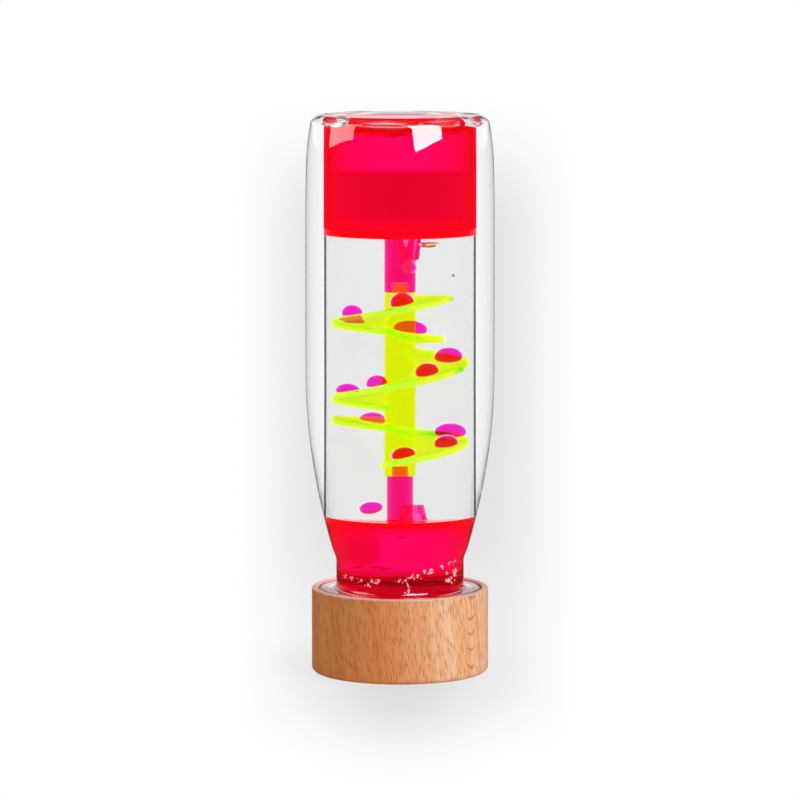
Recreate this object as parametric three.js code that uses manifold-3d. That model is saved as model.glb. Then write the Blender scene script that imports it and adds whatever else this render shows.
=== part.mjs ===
// Sensory bottle: a clear bottle stood neck-down in a turned wooden base, with a liquid spiral
// timer sealed inside it. Millimetres, +Z up, front towards -Y.
// The origin is the middle of the base's underside.

import * as THREE from "three";
import { mergeVertices } from "three/addons/utils/BufferGeometryUtils.js";
import Module from "manifold-3d";

const wasm = await Module();
wasm.setup();

// Fits
const bondGap = 0.3; // pieces that are bonded together or rest on each other
const threadGap = 0.45; // crest of one thread to the root of the other
const capsuleGap = 0.85; // timer in the bottle's neck
const ledgeGap = 0.6; // neck ledge inside the wood's rim
const thinnestFill = 0.4; // narrowest ring of liquid round the timer
const cutPast = 1.0; // a cutter runs this far past the faces that it opens

// Wooden base
const floorThickness = 10.6;
const rimWall = 2.2;
const rimAboveLedge = 0.3;
const footRound = 1.8;
const rimRound = 0.6;

// Screw cap and its liner
const capEnd = 2.0;
const capWall = 2.2;
const linerThickness = 1.5;
const plugHeight = 1.8; // raised middle of the liner that holds the timer up
const plugGap = 0.4;

// Bottle
const bottleWall = 1.6;
const bodyRadius = 32.5;
const finishHeight = 12.0; // lip to ledge
const ledgeReach = 5.7;
const ledgeThickness = 2.0;
const ledgeTopBreak = 0.5; // broken edges of the ledge
const ledgeFootBreak = 0.4;
const neckHeight = 9.6; // straight neck above the ledge
const shoulderFoot = 5.0; // curve between neck and shoulder
const shoulderFlare = 1.6;
const shoulderHeight = 61.0;
const topLean = 38.0; // height over which the body begins to draw in towards the top
const leanInset = 0.55;
const leanHeight = 10.6; // band that leans inwards below the top corner
const topInset = 1.9;
const cornerHeight = 2.6;
const standInset = 6.3; // body to the flat ring that the bottle stands on when it is turned over
const standWidth = 3.0;
const puntDepth = 1.2;
const puntFlat = 8.0;

// Handles of the curves that make the bottle's outline, from the punt down to the neck
const puntEase = 7.0;
const standEase = 4.0;
const cornerEase = 2.4;
const cornerRise = 1.05;
const cornerTuck = 0.35;
const leanEase = 4.0;
const leanSwell = 0.7;
const bandRise = 3.0;
const bandTuck = 0.17;
const bandEase = 4.5;
const bandSwell = 0.3;
const bodyRise = 20.0;
const shoulderEase = 22.6;
const shoulderRise = 18.9;
const shoulderSwell = 5.4;
const footEase = 2.5;
const footTuck = 0.9;
const neckRise = 1.2;

// Thread between neck and cap, right-handed
const threadPitch = 4.2;
const threadTurns = 1.25;
const threadDepth = 1.1;
const threadRoot = 1.5;
const threadCrest = 0.8;
const threadLead = 2.2; // lip to the first turn
const threadSink = 0.4; // root of the ridge in its wall
const threadRunOut = 50; // degrees over which the ridge dies away
const leastRidge = 0.15; // share of the ridge that is left at its ends

// Timer cups, plates and tube
const cupRadius = 19.55;
const cupHeight = 38.0; // with its plate
const cupWall = 1.6;
const cupEnd = 3.6;
const cupRound = 0.8;
const plateThickness = 2.2;
const ringHeight = 2.5; // locating ring of a plate inside its cup
const ringWall = 1.2;
const tubeInset = 0.25; // tube's skin inside the cups' skin
const tubeWall = 2.1;
const chamberHeight = 96.5;

// Stubs, peg and drip spouts
const upperStub = 19.1;
const lowerStub = 15.3;
const lowerStubRadius = 3.2;
const columnRadius = 3.8;
const pegRadius = 2.0;
const pegLength = 3.3;
const spoutReach = 6.65; // middle of the stub to the middle of a spout
const spoutRadius = 3.1;
const spoutTip = 2.5;
const upperSpoutLength = 7.6;
const lowerSpoutLength = 5.2;
const spoutBore = 1.2;
const spoutFunnel = 2.2;
const boreLength = 1.0; // straight end of the bore in a spout's tip
const upperSpoutBearing = -68;
const lowerSpoutBearing = 65;

// Spiral flights: each runs down clockwise, seen from above
const flightPitch = 20.6;
const lowerFlightPitch = 17.8;
const flightThickness = 2.0;
const flightGap = 0.5; // flight's edge to the tube
const firstFlight = 20.7; // upper plate to the middle of the first flight's start
const flights = [
  { node: "ramp_upper", bearing: -28, sweep: 275, pitch: flightPitch },
  { node: "ramp_middle", bearing: 78, sweep: 338, pitch: flightPitch, fall: 5.2 },
  { node: "ramp_lower", bearing: 180, sweep: 290, pitch: lowerFlightPitch, fall: 7.2 },
];

// Dyed liquid
const upperDyeDepth = 19.5;
const lowerDyeDepth = 14.5;
const dropInset = 3.5; // flight's edge to the line that the drops follow
const innerDropInset = 4.9; // drop that keeps nearer to the column
const fallingInset = 4.5;
const rollingDrops = [
  { flight: 0, travel: 57, width: 7.1, height: 4.6 },
  { flight: 0, travel: 131, width: 5.9, height: 4.0 },
  { flight: 0, travel: 187, width: 5.6, height: 3.2 },
  { flight: 0, travel: 248.6, width: 7.3, height: 4.4 },
  { flight: 1, travel: 63, width: 7.1, height: 4.8, inset: innerDropInset },
  { flight: 1, travel: 130.6, width: 6.9, height: 4.4 },
  { flight: 1, travel: 195, width: 6.2, height: 4.0 },
  { flight: 1, travel: 251, width: 6.5, height: 3.4 },
  { flight: 2, travel: 63, width: 5.6, height: 3.8 },
  { flight: 2, travel: 145, width: 7.3, height: 4.4 },
  { flight: 2, travel: 200, width: 6.8, height: 4.0 },
  { flight: 2, travel: 264, width: 7.2, height: 3.8 },
];
const fallingDrop = { bearing: -132, above: 4.7, width: 6.8, height: 4.6 };
const formingDrop = { width: 3.8, height: 4.6 };

// Heights and radii that follow from the sizes above
const capZ = floorThickness + bondGap;
const linerZ = capZ + capEnd + bondGap;
const lipZ = linerZ + linerThickness + bondGap;
const ledgeZ = lipZ + finishHeight;
const ledgeTopZ = ledgeZ + ledgeThickness;
const stepZ = ledgeZ - ledgeGap;
const capTopZ = stepZ - bondGap;
const baseHeight = ledgeTopZ + rimAboveLedge;
const neckTopZ = ledgeTopZ + neckHeight;
const shoulderZ = neckTopZ + shoulderFoot;
const shoulderTopZ = shoulderZ + shoulderHeight;
const timerZ = linerZ + linerThickness + plugHeight + bondGap;
const lowerPlateZ = timerZ + cupHeight;
const upperPlateZ = lowerPlateZ + chamberHeight;
const timerTopZ = upperPlateZ + cupHeight;
const puntZ = timerTopZ + bondGap + bottleWall;
const bottleTopZ = puntZ + puntDepth;

const standRadius = bodyRadius - standInset;
const neckBore = cupRadius + capsuleGap;
const neckRadius = neckBore + bottleWall;
const ledgeRadius = neckRadius + ledgeReach;
const capBore = neckRadius + threadDepth + threadGap;
const capRadius = capBore + capWall;
const woodBore = capRadius + bondGap;
const rimBore = ledgeRadius + ledgeGap;
const baseRadius = rimBore + rimWall;
const cupBore = cupRadius - cupWall;
const tubeRadius = cupRadius - tubeInset;
const tubeBore = tubeRadius - tubeWall;
const flightRadius = tubeBore - flightGap;
const socketRadius = pegRadius + bondGap;

// Materials
const finish = (color, roughness, opacity = 1) =>
  new THREE.MeshStandardMaterial({ color, roughness, metalness: 0, opacity, transparent: opacity < 1 });
const beech = finish(0xd39a64, 0.55);
const greyPlastic = finish(0xb3afaf, 0.4);
const foam = finish(0x959595, 0.9);
const clearPlastic = finish(0xf2f6f6, 0.05, 0.25);
const clearLiquid = finish(0xf4f8f8, 0.02, 0.2);
const pinkPlastic = finish(0xfb0a4e, 0.08, 0.75);
const yellowPlastic = finish(0xdbea08, 0.1, 0.85);
const magentaDye = finish(0xf208be, 0.05, 0.85);

const pair = (x, y) => new THREE.Vector2(x, y);
const radians = THREE.MathUtils.degToRad;

function cubic(a, b, c, d, steps) {
  return new THREE.CubicBezierCurve(pair(...a), pair(...b), pair(...c), pair(...d)).getPoints(steps);
}

// Quarter round between two points, about the given middle
function quarter(middle, radius, fromDegrees, steps) {
  const points = [];
  for (let i = 0; i <= steps; i++) {
    const angle = radians(fromDegrees + (90 * i) / steps);
    points.push(pair(middle[0] + radius * Math.cos(angle), middle[1] + radius * Math.sin(angle)));
  }
  return points;
}

// Clean closed geometry with its faces turned outwards
function closed(geometry) {
  geometry.deleteAttribute("normal");
  geometry.deleteAttribute("uv");
  const clean = mergeVertices(geometry, 1e-4);
  const place = clean.attributes.position;
  const kept = [];
  let volume = 0;
  const a = new THREE.Vector3();
  const b = new THREE.Vector3();
  const c = new THREE.Vector3();
  for (let i = 0; i < clean.index.count; i += 3) {
    const corners = [clean.index.getX(i), clean.index.getX(i + 1), clean.index.getX(i + 2)];
    if (new Set(corners).size < 3) continue;
    kept.push(corners);
    a.fromBufferAttribute(place, corners[0]);
    b.fromBufferAttribute(place, corners[1]);
    c.fromBufferAttribute(place, corners[2]);
    volume += a.dot(b.cross(c));
  }
  const order = kept.flatMap((corners) => (volume < 0 ? [corners[0], corners[2], corners[1]] : corners));
  clean.setIndex(order);
  return clean;
}

// Profile of [radius, height] points turned round the Z axis
function turned(profile, segments = 32) {
  const points = profile.map((p) => (p.isVector2 ? p : pair(p[0], p[1])));
  return closed(new THREE.LatheGeometry(points, segments).rotateX(Math.PI / 2));
}

// Section of [radius, height] corners carried along a helix; sectionAt gives the corners at each step
function helical(sectionAt, steps, bearingAt) {
  const vertices = [];
  const order = [];
  const corners = sectionAt(0).length;
  for (let i = 0; i <= steps; i++) {
    const angle = radians(bearingAt(i / steps));
    for (const [radius, z] of sectionAt(i / steps)) {
      vertices.push(radius * Math.cos(angle), radius * Math.sin(angle), z);
    }
  }
  for (let i = 0; i < steps; i++) {
    for (let k = 0; k < corners; k++) {
      const next = (k + 1) % corners;
      const near = i * corners;
      const far = near + corners;
      order.push(near + k, near + next, far + k, near + next, far + next, far + k);
    }
  }
  const last = steps * corners;
  for (let k = 1; k < corners - 1; k++) {
    order.push(0, k + 1, k, last, last + k, last + k + 1);
  }
  const geometry = new THREE.BufferGeometry();
  geometry.setAttribute("position", new THREE.Float32BufferAttribute(vertices, 3));
  geometry.setIndex(order);
  return closed(geometry);
}

// Thread ridge from a wall at radius root out (or in) to the crest, dying away at both ends
function ridge(root, crest, startZ) {
  const sink = Math.sign(root - crest) * threadSink;
  const sectionAt = (t) => {
    const fade = Math.min(1, leastRidge + (360 * threadTurns * Math.min(t, 1 - t)) / threadRunOut);
    const z = startZ + threadPitch * threadTurns * t;
    const top = root + (crest - root) * fade;
    const half = threadRoot / 2;
    const narrow = half + (threadCrest / 2 - half) * fade;
    return [[root + sink, z - half], [top, z - narrow], [top, z + narrow], [root + sink, z + half]];
  };
  return helical(sectionAt, 36, (t) => 360 * threadTurns * t);
}

function toSolid(geometry) {
  const vertProperties = new Float32Array(geometry.attributes.position.array);
  const triVerts = new Uint32Array(geometry.index.array);
  return new wasm.Manifold(new wasm.Mesh({ numProp: 3, vertProperties, triVerts }));
}

function fromSolid(body) {
  const data = body.getMesh();
  const geometry = new THREE.BufferGeometry();
  geometry.setAttribute("position", new THREE.Float32BufferAttribute(data.vertProperties, 3));
  geometry.setIndex(Array.from(data.triVerts));
  return closed(geometry);
}

function piece(name, geometry, material) {
  geometry.computeVertexNormals();
  const mesh = new THREE.Mesh(geometry, material);
  mesh.name = name;
  return mesh;
}

// Wooden base: a cup with a stepped bore for the cap and the bottle's ledge
function woodenBase() {
  const mouthRound = rimRound / 2;
  return turned([
    [0, 0],
    ...quarter([baseRadius - footRound, footRound], footRound, -90, 4),
    ...quarter([baseRadius - rimRound, baseHeight - rimRound], rimRound, 0, 3),
    [rimBore + mouthRound, baseHeight],
    [rimBore, baseHeight - mouthRound],
    [rimBore, stepZ],
    [woodBore, stepZ],
    [woodBore, floorThickness],
    [0, floorThickness],
  ]);
}

function screwCap() {
  const cup = turned([
    [0, capZ],
    [capRadius, capZ],
    [capRadius, capTopZ],
    [capBore, capTopZ],
    [capBore, capZ + capEnd],
    [0, capZ + capEnd],
  ]);
  const thread = ridge(capBore, capBore - threadDepth, lipZ + threadLead + threadPitch / 2);
  return fromSolid(toSolid(cup).add(toSolid(thread)));
}

function sealingLiner() {
  return turned([
    [0, linerZ],
    [neckRadius, linerZ],
    [neckRadius, linerZ + linerThickness],
    [neckBore - plugGap, linerZ + linerThickness],
    [neckBore - plugGap, linerZ + linerThickness + plugHeight],
    [0, linerZ + linerThickness + plugHeight],
  ]);
}

// Outside of the bottle from the middle of the punt down to the lip
function bottleSkin() {
  const leanRadius = bodyRadius - topInset;
  const leanZ = bottleTopZ - cornerHeight;
  const bandRadius = bodyRadius - leanInset;
  const bandZ = leanZ - leanHeight;
  const bodyZ = bandZ - topLean;
  const standBore = standRadius - standWidth;
  const flareRadius = neckRadius + shoulderFlare;
  return [
    pair(0, puntZ),
    ...cubic(
      [puntFlat, puntZ],
      [puntFlat + puntEase, puntZ],
      [standBore - standEase, bottleTopZ],
      [standBore, bottleTopZ],
      4,
    ),
    ...cubic(
      [standRadius, bottleTopZ],
      [standRadius + cornerEase, bottleTopZ],
      [leanRadius - cornerTuck, leanZ + cornerRise],
      [leanRadius, leanZ],
      5,
    ),
    ...cubic(
      [leanRadius, leanZ],
      [leanRadius + leanSwell, leanZ - leanEase],
      [bandRadius - bandTuck, bandZ + bandRise],
      [bandRadius, bandZ],
      4,
    ).slice(1),
    ...cubic(
      [bandRadius, bandZ],
      [bandRadius + bandSwell, bandZ - bandEase],
      [bodyRadius, bodyZ + bodyRise],
      [bodyRadius, bodyZ],
      3,
    ).slice(1),
    ...cubic(
      [bodyRadius, shoulderTopZ],
      [bodyRadius, shoulderTopZ - shoulderEase],
      [flareRadius + shoulderSwell, shoulderZ + shoulderRise],
      [flareRadius, shoulderZ],
      6,
    ),
    ...cubic(
      [flareRadius, shoulderZ],
      [flareRadius - footTuck, shoulderZ - footEase],
      [neckRadius, neckTopZ + neckRise],
      [neckRadius, neckTopZ],
      3,
    ).slice(1),
    pair(neckRadius, lipZ),
  ];
}

// The same line moved inwards, square to itself
function inside(skin, distance) {
  return skin.map((point, i) => {
    const before = skin[Math.max(0, i - 1)];
    const after = skin[Math.min(skin.length - 1, i + 1)];
    const into = i > 0 ? point.clone().sub(before).normalize() : after.clone().sub(point).normalize();
    const out = i < skin.length - 1 ? after.clone().sub(point).normalize() : into.clone();
    const along = into.add(out).normalize();
    const bend = i > 0 && i < skin.length - 1 ? along.dot(out) : 1;
    return pair(point.x + (along.y * distance) / bend, point.y - (along.x * distance) / bend);
  });
}

const skin = bottleSkin();

function bottleShell() {
  const outer = [
    ...skin.slice(0, -1),
    pair(neckRadius, ledgeTopZ),
    pair(ledgeRadius - ledgeTopBreak, ledgeTopZ),
    pair(ledgeRadius, ledgeTopZ - ledgeTopBreak),
    pair(ledgeRadius, ledgeZ + ledgeFootBreak),
    pair(ledgeRadius - ledgeFootBreak, ledgeZ),
    pair(neckRadius, ledgeZ),
    pair(neckRadius, lipZ),
  ];
  const inner = inside(skin, bottleWall).reverse();
  const shell = turned([...outer, ...inner]);
  const thread = ridge(neckRadius, neckRadius + threadDepth, lipZ + threadLead);
  return fromSolid(toSolid(shell).add(toSolid(thread)));
}

function fillLiquid() {
  const bore = cupRadius + bondGap;
  const wet = inside(skin, bottleWall + bondGap).filter((p) => p.x > bore + thinnestFill && p.y > neckTopZ);
  const top = wet[0].y;
  const bottom = wet[wet.length - 1].y;
  return turned([pair(bore, top), ...wet, pair(bore, bottom), pair(bore, top)]);
}

function timerTube() {
  const low = lowerPlateZ + bondGap;
  const high = upperPlateZ - bondGap;
  return turned([[tubeBore, low], [tubeRadius, low], [tubeRadius, high], [tubeBore, high], [tubeBore, low]]);
}

// End cup with its mouth at height 0 and its closed end below
function timerCup() {
  const mouth = -plateThickness - bondGap;
  return turned([
    [0, -cupHeight],
    [cupRadius - cupRound, -cupHeight],
    [cupRadius, -cupHeight + cupRound],
    [cupRadius, mouth],
    [cupBore, mouth],
    [cupBore, -cupHeight + cupEnd],
    [0, -cupHeight + cupEnd],
  ]);
}

// Plate with its chamber face at height 0, its locating ring below, its stub and spout above
function divider(stubProfile, spoutBearing, spoutLength) {
  const ringRadius = cupBore - bondGap;
  const ringBore = ringRadius - ringWall;
  const plate = turned([
    [0, -plateThickness],
    [ringBore, -plateThickness],
    [ringBore, -plateThickness - ringHeight],
    [ringRadius, -plateThickness - ringHeight],
    [ringRadius, -plateThickness],
    [cupRadius, -plateThickness],
    [cupRadius, 0],
    ...stubProfile,
  ]);
  const angle = radians(spoutBearing);
  const aside = [spoutReach * Math.cos(angle), spoutReach * Math.sin(angle), 0];
  const spout = turned([
    [0, -plateThickness / 2],
    [spoutRadius, -plateThickness / 2],
    [spoutRadius, 0],
    [spoutTip, spoutLength],
    [0, spoutLength],
  ], 16).translate(...aside);
  const funnel = turned([
    [0, -plateThickness - cutPast],
    [spoutFunnel, -plateThickness - cutPast],
    [spoutFunnel, -plateThickness],
    [spoutBore, spoutLength - boreLength],
    [spoutBore, spoutLength + cutPast],
    [0, spoutLength + cutPast],
  ], 16).translate(...aside);
  return fromSolid(toSolid(plate).add(toSolid(spout)).subtract(toSolid(funnel)));
}

const socketDepth = pegLength + bondGap;
const socketStub = [
  [columnRadius, 0],
  [columnRadius, upperStub],
  [socketRadius, upperStub],
  [socketRadius, upperStub - socketDepth],
  [0, upperStub - socketDepth],
];
const pegStub = [
  [lowerStubRadius, 0],
  [lowerStubRadius, lowerStub],
  [pegRadius, lowerStub],
  [pegRadius, lowerStub + pegLength],
  [0, lowerStub + pegLength],
];

function spiralColumn() {
  const low = lowerPlateZ + lowerStub + bondGap;
  const high = upperPlateZ - upperStub - bondGap;
  return turned([
    [0, low + socketDepth],
    [socketRadius, low + socketDepth],
    [socketRadius, low],
    [columnRadius, low],
    [columnRadius, high],
    [pegRadius, high],
    [pegRadius, high + pegLength],
    [0, high + pegLength],
  ], 24);
}

// Height of a flight's middle at a bearing; later flights start below the one before
function flightHeight(index, travel) {
  const flight = flights[index];
  let start = upperPlateZ - firstFlight;
  if (index > 0) {
    const above = flights[index - 1];
    const turn = (above.bearing - flight.bearing + 720) % 360;
    start = flightHeight(index - 1, turn) - flight.fall;
  }
  return start - (flight.pitch * travel) / 360;
}

function spiralFlight(index) {
  const { bearing, sweep } = flights[index];
  const half = flightThickness / 2;
  const bore = columnRadius + bondGap;
  const sectionAt = (t) => {
    const z = flightHeight(index, sweep * t);
    return [[bore, z - half], [flightRadius, z - half], [flightRadius, z + half], [bore, z + half]];
  };
  return helical(sectionAt, Math.round(sweep / 7.5), (t) => bearing - sweep * t);
}

function upperDyePool() {
  const low = upperPlateZ + plateThickness + bondGap;
  const shelf = upperPlateZ + plateThickness + ringHeight + bondGap;
  const high = upperPlateZ + plateThickness + upperDyeDepth;
  const wide = cupBore - bondGap;
  const narrow = cupBore - 3 * bondGap - ringWall;
  return turned([[0, low], [narrow, low], [narrow, shelf], [wide, shelf], [wide, high], [0, high]]);
}

function lowerDyePool() {
  const low = timerZ + cupEnd + bondGap;
  const wide = cupBore - bondGap;
  return turned([[0, low], [wide, low], [wide, low + lowerDyeDepth], [0, low + lowerDyeDepth]]);
}

function dropMesh(name, { width, height }) {
  const geometry = closed(new THREE.SphereGeometry(0.5, 12, 7));
  geometry.scale(width, width, height);
  return piece(name, geometry, magentaDye);
}

// Drop that lies on a flight, square to its slope
function rollingDrop(name, drop) {
  const mesh = dropMesh(name, drop);
  const { bearing, pitch } = flights[drop.flight];
  const angle = radians(bearing - drop.travel);
  const track = flightRadius - (drop.inset ?? dropInset);
  const slope = pitch / (2 * Math.PI * track);
  const downhill = new THREE.Vector3(Math.sin(angle), -Math.cos(angle), -slope).normalize();
  const outwards = new THREE.Vector3(Math.cos(angle), Math.sin(angle), 0);
  const upwards = new THREE.Vector3().crossVectors(outwards, downhill).negate();
  mesh.setRotationFromMatrix(new THREE.Matrix4().makeBasis(downhill, outwards, upwards));
  mesh.position.copy(outwards).multiplyScalar(track);
  mesh.position.z = flightHeight(drop.flight, drop.travel);
  mesh.position.addScaledVector(upwards, flightThickness / 2 + bondGap + drop.height / 2);
  return mesh;
}

function looseDrop(name, drop, reach, bearing, z) {
  const mesh = dropMesh(name, drop);
  const angle = radians(bearing);
  mesh.position.set(reach * Math.cos(angle), reach * Math.sin(angle), z);
  return mesh;
}

const model = new THREE.Group();
model.name = "sensory_bottle";

const base = new THREE.Group();
base.name = "base";
base.add(piece("wooden_base", woodenBase(), beech));
base.add(piece("screw_cap", screwCap(), greyPlastic));
base.add(piece("sealing_liner", sealingLiner(), foam));
model.add(base);

const bottle = new THREE.Group();
bottle.name = "bottle";
bottle.add(piece("bottle_shell", bottleShell(), clearPlastic));
bottle.add(piece("fill_liquid", fillLiquid(), clearLiquid));
model.add(bottle);

const timer = new THREE.Group();
timer.name = "timer";
timer.add(piece("timer_tube", timerTube(), clearPlastic));
const upperEnd = new THREE.Group();
upperEnd.name = "upper_end";
upperEnd.position.z = upperPlateZ;
upperEnd.rotation.x = Math.PI;
upperEnd.add(piece("upper_cup", timerCup(), pinkPlastic));
upperEnd.add(piece("upper_divider", divider(socketStub, -upperSpoutBearing, upperSpoutLength), pinkPlastic));
const lowerEnd = new THREE.Group();
lowerEnd.name = "lower_end";
lowerEnd.position.z = lowerPlateZ;
lowerEnd.add(piece("lower_cup", timerCup(), pinkPlastic));
lowerEnd.add(piece("lower_divider", divider(pegStub, lowerSpoutBearing, lowerSpoutLength), pinkPlastic));
timer.add(upperEnd, lowerEnd);
timer.add(piece("spiral_column", spiralColumn(), yellowPlastic));
flights.forEach((flight, index) => timer.add(piece(flight.node, spiralFlight(index), yellowPlastic)));
timer.add(piece("upper_dye_pool", upperDyePool(), magentaDye));
timer.add(piece("lower_dye_pool", lowerDyePool(), magentaDye));

const dropName = (index) => `drop_${String(index + 1).padStart(2, "0")}`;
rollingDrops.forEach((drop, index) => timer.add(rollingDrop(dropName(index), drop)));
const fallingZ = lowerPlateZ + fallingDrop.above;
const falling = dropName(rollingDrops.length);
timer.add(looseDrop(falling, fallingDrop, flightRadius - fallingInset, fallingDrop.bearing, fallingZ));
const formingZ = upperPlateZ - upperSpoutLength - bondGap - formingDrop.height / 2;
const forming = dropName(rollingDrops.length + 1);
timer.add(looseDrop(forming, formingDrop, spoutReach, upperSpoutBearing, formingZ));
model.add(timer);

export default model;
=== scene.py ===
import math
import random
from functools import partial

import bpy
from mathutils import Matrix, Vector


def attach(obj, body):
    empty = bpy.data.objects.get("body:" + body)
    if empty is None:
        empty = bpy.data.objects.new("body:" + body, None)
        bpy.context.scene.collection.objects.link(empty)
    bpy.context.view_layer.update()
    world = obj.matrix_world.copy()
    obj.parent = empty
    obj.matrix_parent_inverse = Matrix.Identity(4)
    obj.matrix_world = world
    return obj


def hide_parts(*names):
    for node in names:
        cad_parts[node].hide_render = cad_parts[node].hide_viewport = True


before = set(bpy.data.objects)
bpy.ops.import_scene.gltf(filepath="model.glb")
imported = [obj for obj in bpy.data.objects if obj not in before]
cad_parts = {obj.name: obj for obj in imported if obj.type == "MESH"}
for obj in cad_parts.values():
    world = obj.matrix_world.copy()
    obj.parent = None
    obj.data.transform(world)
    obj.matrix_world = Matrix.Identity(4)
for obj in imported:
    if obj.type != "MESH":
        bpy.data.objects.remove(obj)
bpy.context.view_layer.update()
scene = bpy.context.scene
mm = 0.001

# Camera: at the front, looking slightly down on the bottle
view = {
    "distance": 1.5,
    "height": 0.2668,
    "downDegrees": 6.566,
    "lens": 197.28,
    "sensor": 36.0,
    "bounces": 40,
}


def makeCamera():
    data = bpy.data.cameras.new("frontCamera")
    data.sensor_fit = "HORIZONTAL"
    data.sensor_width = view["sensor"]
    data.lens = view["lens"]
    camera = bpy.data.objects.new("frontCamera", data)
    camera.location = (0, -view["distance"], view["height"])
    camera.rotation_euler = (math.radians(90 - view["downDegrees"]), 0, 0)
    scene.collection.objects.link(camera)
    scene.camera = camera


makeCamera()
scene.view_settings.view_transform = "Standard"
for bounceKind in ("max", "transmission", "glossy", "transparent_max"):
    setattr(scene.cycles, bounceKind + "_bounces", view["bounces"])
print("camera placed")


# Mesh helpers: profiles and sections are in millimetres, objects in metres

def cubicPoints(a, b, c, d, steps):
    points = []
    for i in range(steps + 1):
        t = i / steps
        s = 1 - t
        weights = (s ** 3, 3 * s * s * t, 3 * s * t * t, t ** 3)
        points.append(tuple(sum(w * p[k] for w, p in zip(weights, (a, b, c, d))) for k in (0, 1)))
    return points


def arcPoints(middle, radius, fromDegrees, toDegrees, steps):
    points = []
    for i in range(steps + 1):
        angle = math.radians(fromDegrees + (toDegrees - fromDegrees) * i / steps)
        points.append((middle[0] + radius * math.cos(angle), middle[1] + radius * math.sin(angle)))
    return points


def meshObject(name, vertices, faces, materials, faceSlots=None, sharpDegrees=40):
    mesh = bpy.data.meshes.new(name)
    mesh.from_pydata([tuple(c * mm for c in v) for v in vertices], [], faces)
    for material in materials:
        mesh.materials.append(material)
    if faceSlots:
        mesh.polygons.foreach_set("material_index", faceSlots)
    mesh.polygons.foreach_set("use_smooth", [True] * len(faces))
    mesh.validate()
    mesh.set_sharp_from_angle(angle=math.radians(sharpDegrees))
    piece = bpy.data.objects.new(name, mesh)
    scene.collection.objects.link(piece)
    return piece


def joinInto(vertices, faces, moreVertices, moreFaces):
    start = len(vertices)
    vertices += moreVertices
    faces += [tuple(start + v for v in face) for face in moreFaces]


# Profile of (radius, height) points turned round the axis, with the outside on its right hand
def turnProfile(profile, segments, isLoop=False):
    vertices, faces, sides, rings = [], [], [], []
    for radius, height in profile:
        if radius < 1e-6:
            rings.append([len(vertices)])
            vertices.append((0, 0, height))
            continue
        rings.append(range(len(vertices), len(vertices) + segments))
        for i in range(segments):
            angle = 2 * math.pi * i / segments
            vertices.append((radius * math.cos(angle), radius * math.sin(angle), height))
    pairs = list(zip(rings, rings[1:]))
    if isLoop:
        pairs.append((rings[-1], rings[0]))
    for k, (low, high) in enumerate(pairs):
        for i in range(segments):
            j = (i + 1) % segments
            if len(low) == 1:
                faces.append((low[0], high[j], high[i]))
            elif len(high) == 1:
                faces.append((low[i], low[j], high[0]))
            else:
                faces.append((low[i], low[j], high[j], high[i]))
            sides.append(k)
    return vertices, faces, sides


def turnedObject(name, profile, materials, slotOf=None, segments=160, isLoop=False):
    vertices, faces, sides = turnProfile(profile, segments, isLoop)
    slots = [slotOf(k) for k in sides] if slotOf else None
    return meshObject(name, vertices, faces, materials, slots)


# Section of (radius, height) corners carried along a helix, closed at both ends
def helixSweep(sectionAt, bearingAt, steps):
    vertices, faces = [], []
    count = len(sectionAt(0))
    for i in range(steps + 1):
        angle = math.radians(bearingAt(i / steps))
        for radius, height in sectionAt(i / steps):
            vertices.append((radius * math.cos(angle), radius * math.sin(angle), height))
    for i in range(steps):
        for k in range(count):
            n = (k + 1) % count
            a, b = i * count, (i + 1) * count
            faces.append((a + n, b + n, b + k, a + k))
    faces.append(tuple(reversed(range(count))))
    faces.append(tuple(steps * count + k for k in range(count)))
    return vertices, faces


# Unit ball whose points are placed by the shape function
def ballMesh(rings, segments, shape):
    vertices, faces = [shape(0, 0, -1)], []
    for i in range(1, rings):
        lat = math.pi * (i / rings - 0.5)
        for k in range(segments):
            lon = 2 * math.pi * k / segments
            point = (math.cos(lat) * math.cos(lon), math.cos(lat) * math.sin(lon), math.sin(lat))
            vertices.append(shape(*point))
    vertices.append(shape(0, 0, 1))
    last = len(vertices) - 1
    for k in range(segments):
        n = (k + 1) % segments
        faces.append((0, 1 + n, 1 + k))
        faces.append((last, last - segments + k, last - segments + n))
        for i in range(rings - 2):
            a, b = 1 + i * segments, 1 + (i + 1) * segments
            faces.append((a + k, a + n, b + n, b + k))
    return vertices, faces


def ballObject(name, vertices, faces, material):
    return meshObject(name, vertices, faces, [material], sharpDegrees=180)


# The lamps shine through dyed pieces without carrying their colour to the wood
dyedSlots = ("pink_plastic", "yellow_plastic", "magenta_dye")


def settle(piece, body, slotName, *nodes):
    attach(piece, body)
    piece.visible_shadow = slotName not in dyedSlots
    if nodes:
        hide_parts(*nodes)


# Material helpers: a node's inputs take numbers, colours or the outputs of other nodes

def setInputs(tree, node, inputs):
    for key, value in inputs.items():
        socket = node.inputs[key]
        if isinstance(value, bpy.types.NodeSocket):
            tree.links.new(value, socket)
        elif socket.type == "RGBA":
            socket.default_value = (*value, 1)
        else:
            socket.default_value = value


def addNode(tree, kind, inputs=None, **settings):
    node = tree.nodes.new("ShaderNode" + kind)
    for key, value in settings.items():
        setattr(node, key, value)
    setInputs(tree, node, inputs or {})
    return node


def openMaterial(material):
    return material.node_tree, material.node_tree.nodes["Principled BSDF"]


def startMaterial(name):
    material = bpy.data.materials.new(name)
    material.use_nodes = True
    return material, *openMaterial(material)


def sums(tree, kind, a, b=0.0):
    return addNode(tree, "Math", {0: a, 1: b}, operation=kind).outputs[0]


def sumsOf(tree):
    return [partial(sums, tree, kind) for kind in ("ADD", "SUBTRACT", "MULTIPLY", "DIVIDE")]


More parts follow.
